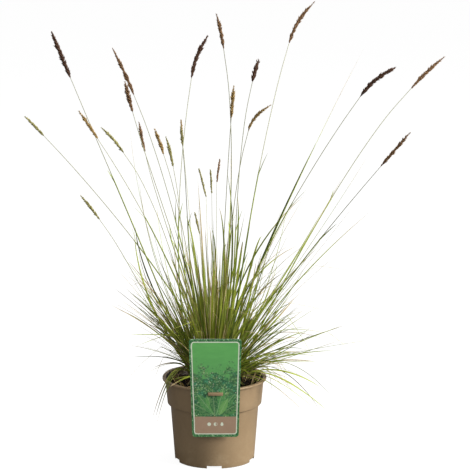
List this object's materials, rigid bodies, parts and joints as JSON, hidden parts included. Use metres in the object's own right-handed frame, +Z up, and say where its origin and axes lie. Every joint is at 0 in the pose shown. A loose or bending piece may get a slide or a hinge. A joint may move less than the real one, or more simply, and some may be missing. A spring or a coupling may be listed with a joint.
{
  "type": "potted autumn moor grass",
  "caption": "Clump of fine arching ornamental grass with tall stems and narrow brown flower spikes, in a round tapered nursery pot with a hanging picture card.",
  "frame": {"origin": "centre of the pot's base, on the surface it stands on", "axes": "+Z up along the pot's axis, -Y towards the side that carries the label, +X to the right as seen from that side"},
  "size_m": [0.684, 0.412, 0.743],
  "materials": {
    "pot_plastic": "satin",
    "soil_mix": "matte",
    "label_card": "gloss",
    "stem_green": "satin",
    "spike_brown": "matte",
    "spike_tan": "matte",
    "leaf_green": "satin"
  },
  "bodies": {
    "root": {"pot": "pot_plastic", "soil": "soil_mix", "label": "label_card", "stem_01": "stem_green", "stem_02": "stem_green", "stem_03": "stem_green", "stem_04": "stem_green", "stem_05": "stem_green", "stem_06": "stem_green", "stem_07": "stem_green", "stem_08": "stem_green", "stem_09": "stem_green", "stem_10": "stem_green", "stem_11": "stem_green", "stem_12": "stem_green", "stem_13": "stem_green", "stem_14": "stem_green", "stem_15": "stem_green", "stem_16": "stem_green", "stem_17": "stem_green", "stem_18": "stem_green", "stem_19": "stem_green", "stem_20": "stem_green", "flower_spike_01": "spike_brown", "flower_spike_02": "spike_tan", "flower_spike_03": "spike_tan", "flower_spike_04": "spike_tan", "flower_spike_05": "spike_tan", "flower_spike_06": "spike_tan", "flower_spike_07": "spike_brown", "flower_spike_08": "spike_tan", "flower_spike_09": "spike_tan", "flower_spike_10": "spike_tan", "flower_spike_11": "spike_tan", "flower_spike_12": "spike_brown", "flower_spike_13": "spike_tan", "flower_spike_14": "spike_tan", "flower_spike_15": "spike_brown", "flower_spike_16": "spike_tan", "flower_spike_17": "spike_tan", "flower_spike_18": "spike_brown", "flower_spike_19": "spike_brown", "flower_spike_20": "spike_tan", "leaf_tuft_01": "leaf_green", "leaf_tuft_02": "leaf_green", "leaf_tuft_03": "leaf_green", "leaf_tuft_04": "leaf_green", "leaf_tuft_05": "leaf_green", "leaf_tuft_06": "leaf_green", "leaf_tuft_07": "leaf_green", "leaf_tuft_08": "leaf_green", "leaf_tuft_09": "leaf_green", "leaf_tuft_10": "leaf_green", "leaf_tuft_11": "leaf_green", "leaf_tuft_12": "leaf_green", "leaf_tuft_13": "leaf_green", "leaf_tuft_14": "leaf_green", "leaf_tuft_15": "leaf_green", "leaf_tuft_16": "leaf_green", "leaf_tuft_17": "leaf_green"}
  },
  "joints": []
}
